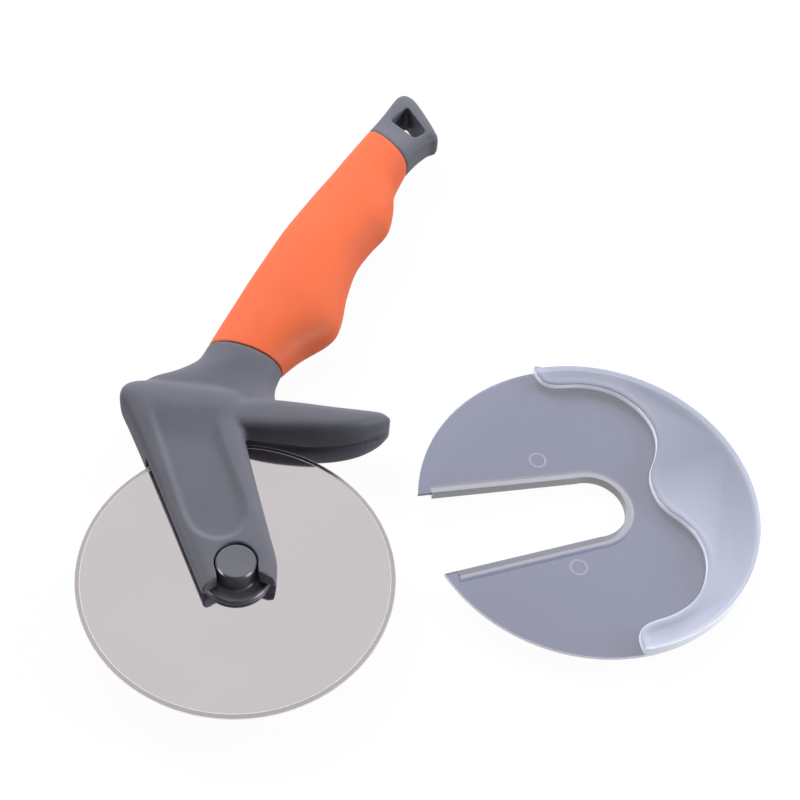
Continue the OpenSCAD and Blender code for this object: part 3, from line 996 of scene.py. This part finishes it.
def build_cover(edge_round):
    """The cover in its own place: plate, rib round the slot, rim, upper sheet and its lip."""
    disc = round_block(COVER_R, RIB_DEPTH, PLATE_TOP)
    combine(disc, prism("rib", slot_outline(RIB_W, RIB_END), 0, RIB_DEPTH + SHEET_T / 2), "UNION")
    combine(disc, prism("slot", slot_outline(0, COVER_R + SLOT_SHIFT + 2), -1, SHEET_LOW))
    soften(disc, edge_round)

    # the rim runs round to where the wavy edge meets it
    edge_end = edge_half()[-2][0] + SLOT_SHIFT
    turn = int(np.degrees(np.arccos(edge_end / COVER_R)))
    outside, inside = (arc(radius, -radians(turn), radians(turn), 2 * turn + 1, COVER_MIDDLE)
                       for radius in (COVER_R, COVER_R - RIM_WALL))
    rim = prism("rim", outside + inside[::-1], RIB_DEPTH + SHEET_T / 3, COVER_TOP)
    combine(disc, soften(rim, edge_round), "UNION")

    sheet = crescent_outline(COVER_R - SHEET_INSET, 0.6)
    combine(disc, prism("sheet", sheet, SHEET_LOW, COVER_TOP - OVERLAP), "UNION")
    combine(disc, build_lip(SHEET_LOW + OVERLAP, COVER_TOP + LIP_H), "UNION")
    join(disc, *[build_mark(spot) for spot in EJECTOR_MARKS])
    return shade(disc)


def from_slot(spot):
    """How far a place on the cover is from the slot's middle line, or from its round end."""
    along, across = spot.x, abs(spot.y)
    out = across * cos(SLOT_TAPER) + along * sin(SLOT_TAPER)
    return np.hypot(out, max(along * cos(SLOT_TAPER) - across * sin(SLOT_TAPER), 0))


def cover_slot(spot, level):
    """The material slot of a face of the cover, by its middle and by how level it is: 1 flat, 0 upright. The
    cover's outer edge, the slopes above the plate and the leaning faces at the slot's round end take the
    painted highlight; the rib's faces and the ejector marks take slots with painted glow.
    """
    reach = from_slot(spot)
    if reach < SLOT_R + 0.2 and level < LEANING:
        return WALL if level < UPRIGHT or spot.x < 0 else PAINTED_HIGHLIGHT
    if reach < RIB_R + 1 and spot.z < RIB_DEPTH - 0.05:
        return RIB if level > HALFWAY else UNDER
    if (spot.to_2d() - Vector(COVER_MIDDLE)).length > COVER_R - 0.45 and level < FLAT:
        return PAINTED_HIGHLIGHT
    if min(np.hypot(spot.x - x, spot.y - y) for x, y in EJECTOR_MARKS) < MARK_R:
        return UNDER
    if level < SLOPING and spot.z > PLATE_TOP:
        return PAINTED_HIGHLIGHT
    return SHEET if spot.z > COVER_TOP - 0.3 else PLATE


def sort_cover_faces(cover):
    """Gives the faces of the cover, still in its own place, their material slots, among them painted
    highlights and painted glow.
    """
    for face in cover.data.polygons:
        face.material_index = cover_slot((face.center - WHEEL) / MM, abs(face.normal.z))


# Stage

def backdrop_material(colour):
    """A pale floor that looks white, keeps the shadow and throws little light back."""
    s = Shader("floor_paper")
    s.set(Base_Color=colour, Roughness=0.9, Specular_IOR_Level=0.1)
    seen = s.node("ShaderNodeLightPath").outputs
    level = 0
    for ray, share in FLOOR_SEEN.items():
        level = s.maths("MULTIPLY_ADD", seen[ray], share, level, clamp=True)
    white = s.node("ShaderNodeEmission")
    white.inputs["Strength"].default_value = FLOOR_WHITE
    mix = s.node("ShaderNodeMixShader")
    for socket, value in zip(mix.inputs, (level, s.surface.outputs["BSDF"], white.outputs["Emission"])):
        s.link(value, socket)
    s.link(mix.outputs["Shader"], s.tree.nodes["Material Output"].inputs["Surface"])
    return s.material


def add_floor(colour):
    """The paper that everything lies on."""
    corners = [(x * FLOOR_REACH, y * FLOOR_REACH, FLOOR_Z) for x, y in ((-1, -1), (1, -1), (1, 1), (-1, 1))]
    mesh = bpy.data.meshes.new("floor")
    mesh.from_pydata(corners, [], [(0, 1, 2, 3)])
    floor = add_object("floor", mesh)
    floor.data.materials.append(backdrop_material(colour))


def add_world(bright, mirrored, dim):
    """White to the eye. It lights from above, behind and both sides, and little from the front."""
    world = bpy.data.worlds.new("studio")
    bpy.context.scene.world = world
    world.use_nodes = True
    nodes = Nodes(world.node_tree)
    towards = nodes.node("ShaderNodeTexCoord").outputs["Generated"]
    seen = nodes.node("ShaderNodeLightPath").outputs

    def falling(side, start, end, level, low):
        """A level that falls off towards one side, between two cosines."""
        cosine = nodes.node("ShaderNodeVectorMath", operation="DOT_PRODUCT")
        nodes.feed(cosine.inputs[0], towards)
        nodes.feed(cosine.inputs[1], Vector(side).normalized())
        return nodes.ramp(cosine.outputs["Value"], start, end, level, low)

    lighting = falling(FRONT_ABOVE, -0.35, 0.5, bright, dim)
    in_mirrors = falling(FRONT, 0, 0.35, mirrored, mirrored * 0.2)
    level = nodes.mix(seen["Is Glossy Ray"], lighting, in_mirrors)
    background = nodes.tree.nodes["Background"]
    nodes.feed(background.inputs["Color"], (1, 1, 1))
    nodes.feed(background.inputs["Strength"], nodes.mix(seen["Is Camera Ray"], level, 1.0))


def add_lamp(name, at, size, power, glints=False):
    """A round soft lamp, aimed at the middle. One that glints shows in edges alone, the rest only light."""
    data = bpy.data.lights.new(name, "AREA")
    data.shape = "DISK"
    data.size = size
    data.energy = power
    lamp = add_object(name, data)
    lamp.location = at
    lamp.rotation_euler = (-Vector(at)).to_track_quat("-Z", "Y").to_euler()
    lamp.visible_glossy = glints
    lamp.visible_diffuse = not glints


def add_camera():
    """The photograph's view: high in front, through a long lens, rolled by a few degrees."""
    data = bpy.data.cameras.new("view")
    data.lens = LENS
    data.sensor_width = SENSOR_W
    data.clip_start = 0.01
    data.clip_end = 20
    camera = add_object("view", data)
    side = Vector((1, 0, 0))
    up = Vector((0, sin(CAMERA_PITCH), cos(CAMERA_PITCH)))
    across = side * cos(CAMERA_ROLL) + up * sin(CAMERA_ROLL)
    upward = up * cos(CAMERA_ROLL) - side * sin(CAMERA_ROLL)
    turn = Matrix((across, upward, across.cross(upward))).transposed().to_4x4()
    camera.matrix_world = Matrix.Translation(WHEEL + Vector(CAMERA_AT) * MM) @ turn
    bpy.context.scene.camera = camera


# Settings

def colour_property(name, description, default):
    """A colour that the user can change."""
    return FloatVectorProperty(name=name, description=description, subtype="COLOR", size=3, min=0, max=1,
                               default=default)


class FrameSettings(PropertyGroup):
    colour: colour_property("Colour", "Colour of the grey moulding and the hub", (0.165, 0.169, 0.205))
    first_skin: FloatProperty(name="First skin", description="Step of the skin that joins the forms, in mm",
                              default=0.7, min=0.4, max=2)
    last_skin: FloatProperty(name="Last skin", description="Step of the finished skin, in mm",
                             default=0.42, min=0.3, max=2)
    rounding: IntProperty(name="Rounding", description="Rounds of softening where the forms meet",
                          default=12, min=0, max=60)
    panel_depth: FloatProperty(name="Panel depth", description="Depth of the panel in each arm's face, in mm",
                               default=1.4, min=0, max=2)
    panel_ease: FloatProperty(name="Panel ease", description="Width of the panel's soft border, in mm",
                              default=2.8, min=0.5, max=6)
    faces_left: FloatProperty(name="Faces left", description="Share of the faces that are kept",
                              default=0.4, min=0.1, max=1, subtype="FACTOR")


class GripSettings(PropertyGroup):
    colour: colour_property("Colour", "Colour of the soft grip", (0.93, 0.17, 0.062))
    rim_round: FloatProperty(name="Rim rounding", description="Rounding at the grip's ends",
                             default=0.0006, min=0, max=0.002, unit="LENGTH")


class BladeSettings(PropertyGroup):
    colour: colour_property("Colour", "Colour of the steel", (0.625, 0.588, 0.605))
    roughness: FloatProperty(name="Roughness", description="Roughness of the polish",
                             default=0.06, min=0.02, max=1, subtype="FACTOR")
    bevel: FloatProperty(name="Bevel", description="Width of the ground bevel",
                         default=0.0016, min=0.0005, max=0.006, unit="LENGTH")


class CoverSettings(PropertyGroup):
    plate_colour: colour_property("Plate colour", "Colour of the single sheet", (0.148, 0.166, 0.31))
    sheet_colour: colour_property("Sheet colour", "Colour of the doubled sheet", (0.515, 0.54, 0.67))
    # painted light: the plate is painted lighter over the rib
    rib_colour: colour_property("Rib colour", "Colour of the plate over the rib", (0.28, 0.28, 0.36))
    wall_colour: colour_property("Wall colour", "Colour of the slot's wall", (0.3, 0.3, 0.38))
    # painted highlight and painted glow: the near-white colour and the emission of the cover's edges
    highlight_colour: colour_property("Edge colour", "Colour of the bright edges", (0.8, 0.83, 0.93))
    painted_edge_glow: FloatProperty(name="Edge glow", description="How much the edges glow with light from inside",
                             default=0.45, min=0, max=1, subtype="FACTOR")
    plate_alpha: FloatProperty(name="Plate cover", description="How much one face of the plate covers",
                               default=0.55, min=0, max=1, subtype="FACTOR")
    sheet_alpha: FloatProperty(name="Sheet cover", description="How much one face of the upper sheet covers",
                               default=0.7, min=0, max=1, subtype="FACTOR")
    edge_round: FloatProperty(name="Edge rounding", description="Rounding of the cover's edges",
                              default=0.0003, min=0.00005, max=0.0005, unit="LENGTH")


class StageSettings(PropertyGroup):
    floor_colour: colour_property("Floor colour", "Colour of the floor under its white", (0.12, 0.12, 0.125))
    world_bright: FloatProperty(name="World light", description="Light from above, behind and the sides",
                                default=1.05, min=0, max=4)
    world_mirrored: FloatProperty(name="World mirrored", description="How bright that light is in the blade",
                                  default=0.95, min=0, max=4)
    world_dim: FloatProperty(name="Front light", description="Strength of the world's light from the front",
                             default=0.04, min=0, max=3)
    key_power: FloatProperty(name="Top lamp", description="Power of the large lamp overhead",
                             default=10, min=0, max=100, unit="POWER")
    fill_power: FloatProperty(name="Side lamp", description="Power of the soft lamp at the right",
                              default=7.5, min=0, max=100, unit="POWER")
    spark_power: FloatProperty(name="Spark lamps", description="Power of each small lamp that glints in edges",
                               default=7, min=0, max=100, unit="POWER")


class CutterSettings(PropertyGroup):
    frame: PointerProperty(type=FrameSettings)
    grip: PointerProperty(type=GripSettings)
    blade: PointerProperty(type=BladeSettings)
    cover: PointerProperty(type=CoverSettings)
    stage: PointerProperty(type=StageSettings)


# Operators

class CUTTER_OT_stage(Operator):
    """Add the floor, the lamps, the world and the camera"""
    bl_idname = "cutter.stage"
    bl_label = "Stage"

    def execute(self, context):
        sizes = context.scene.cutter.stage
        add_floor(sizes.floor_colour)
        add_world(sizes.world_bright, sizes.world_mirrored, sizes.world_dim)
        add_lamp("top_lamp", (-0.5, 0.7, 0.75), 0.6, sizes.key_power)
        add_lamp("right_fill", (1.0, 0.15, 0.4), 0.6, sizes.fill_power)
        add_lamp("left_spark", (-0.88, -0.33, 0.35), 0.5, sizes.spark_power, glints=True)
        add_lamp("right_spark", (0.83, -0.38, 0.42), 0.5, sizes.spark_power, glints=True)
        add_camera()
        context.scene.view_settings.view_transform = "Standard"
        return {"FINISHED"}


class CUTTER_OT_frame(Operator):
    """Build the grey moulding"""
    bl_idname = "cutter.frame"
    bl_label = "Frame"

    def execute(self, context):
        sizes = context.scene.cutter.frame
        plastic = handle_plastic("grey_moulding", sizes.colour)
        finish(build_frame(sizes), "handle", "handle_plastic", "frame", plastic)
        return {"FINISHED"}


class CUTTER_OT_grip(Operator):
    """Build the soft grip"""
    bl_idname = "cutter.grip"
    bl_label = "Grip"

    def execute(self, context):
        sizes = context.scene.cutter.grip
        rubber = grip_rubber("orange_grip", sizes.colour)
        finish(build_grip(sizes.rim_round), "handle", "soft_grip", "grip", rubber)
        return {"FINISHED"}


class CUTTER_OT_wheel(Operator):
    """Build the blade and both halves of its hub"""
    bl_idname = "cutter.wheel"
    bl_label = "Wheel"

    def execute(self, context):
        sizes = context.scene.cutter
        colour, bevel = sizes.blade.colour, sizes.blade.bevel / MM
        polished = blade_steel("polished_steel", colour, sizes.blade.roughness, lines_height=0.0006)
        ground = blade_steel("ground_edge", scaled(colour, 0.8), roughness=0.24, lines_height=0.002)
        # painted highlight: a lighter, rough steel on the thin lines at the bevel's edge and at the rim, so
        # that they look lit from any side
        line = blade_steel("painted_glint_line", scaled(colour, 1.3), roughness=0.6, lines_height=0.002)
        blade = finish(build_blade(bevel), "wheel", "blade_steel", "blade", polished, ground, line)
        sort_blade_faces(blade, bevel)
        plastic = handle_plastic("hub_moulding", scaled(sizes.frame.colour, 0.9), roughness=0.24, grain=0.02,
                                 shine=0.5)
        finish(build_hub_front(), "hub", "hub_plastic", "hub_front", plastic)
        finish(build_hub_back(), "hub", "hub_plastic", "hub_back", plastic)
        return {"FINISHED"}


class CUTTER_OT_cover(Operator):
    """Build the slip-on cover of the blade"""
    bl_idname = "cutter.cover"
    bl_label = "Cover"

    def execute(self, context):
        sizes = context.scene.cutter.cover
        edge = sizes.highlight_colour
        # painted light: the edge slot's near-white colour and glow are painted highlights; the lighter colours
        # and glow of the under faces, the ejector marks and the rib are painted light scattered in the plastic
        cover_materials = {
            PLATE: plate_plastic("cover_plate", sizes.plate_colour, sizes.rib_colour, sizes.plate_alpha, 0.3),
            SHEET: sheet_plastic("cover_sheet", sizes.sheet_colour, sizes.sheet_alpha, 0.2),
            UNDER: cover_plastic("cover_under_painted_light", scaled(edge, 0.85), 0.25, 0.3, 0.22),
            WALL: cover_plastic("cover_wall", sizes.wall_colour, 0.75, 0.25, 0),
            PAINTED_HIGHLIGHT: cover_plastic("cover_painted_highlight", edge, 0.9, 0.15, sizes.painted_edge_glow),
            RIB: cover_plastic("cover_rib_painted_light", scaled(edge, 0.6), 0.4, 0.3, 0.28),
        }
        cover = build_cover(sizes.edge_round)
        finish(cover, "cover", "cover_plastic", "blade_cover", *cover_materials.values())
        sort_cover_faces(cover)
        lay_cover(cover)
        return {"FINISHED"}


class CUTTER_PT_panel(Panel):
    """The cutter's operators and settings"""
    bl_label = "Pizza cutter"
    bl_idname = "CUTTER_PT_panel"
    bl_space_type = "VIEW_3D"
    bl_region_type = "UI"
    bl_category = "Pizza cutter"

    def draw(self, context):
        for operator in OPERATORS:
            self.layout.operator(operator.bl_idname)
        for group in CutterSettings.__annotations__:
            box = self.layout.box()
            box.label(text=group.capitalize())
            settings = getattr(context.scene.cutter, group)
            for name in settings.__annotations__:
                box.prop(settings, name)


OPERATORS = (CUTTER_OT_stage, CUTTER_OT_frame, CUTTER_OT_grip, CUTTER_OT_wheel, CUTTER_OT_cover)
CLASSES = (FrameSettings, GripSettings, BladeSettings, CoverSettings, StageSettings, CutterSettings,
           *OPERATORS, CUTTER_PT_panel)


def register():
    for cls in CLASSES:
        bpy.utils.register_class(cls)
    bpy.types.Scene.cutter = PointerProperty(type=CutterSettings)


def unregister():
    del bpy.types.Scene.cutter
    for cls in reversed(CLASSES):
        bpy.utils.unregister_class(cls)


def main():
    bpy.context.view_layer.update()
    register()
    bpy.ops.cutter.stage()
    bpy.ops.cutter.frame()
    bpy.ops.cutter.grip()
    bpy.ops.cutter.wheel()
    bpy.ops.cutter.cover()


if __name__ == "__main__":
    main()
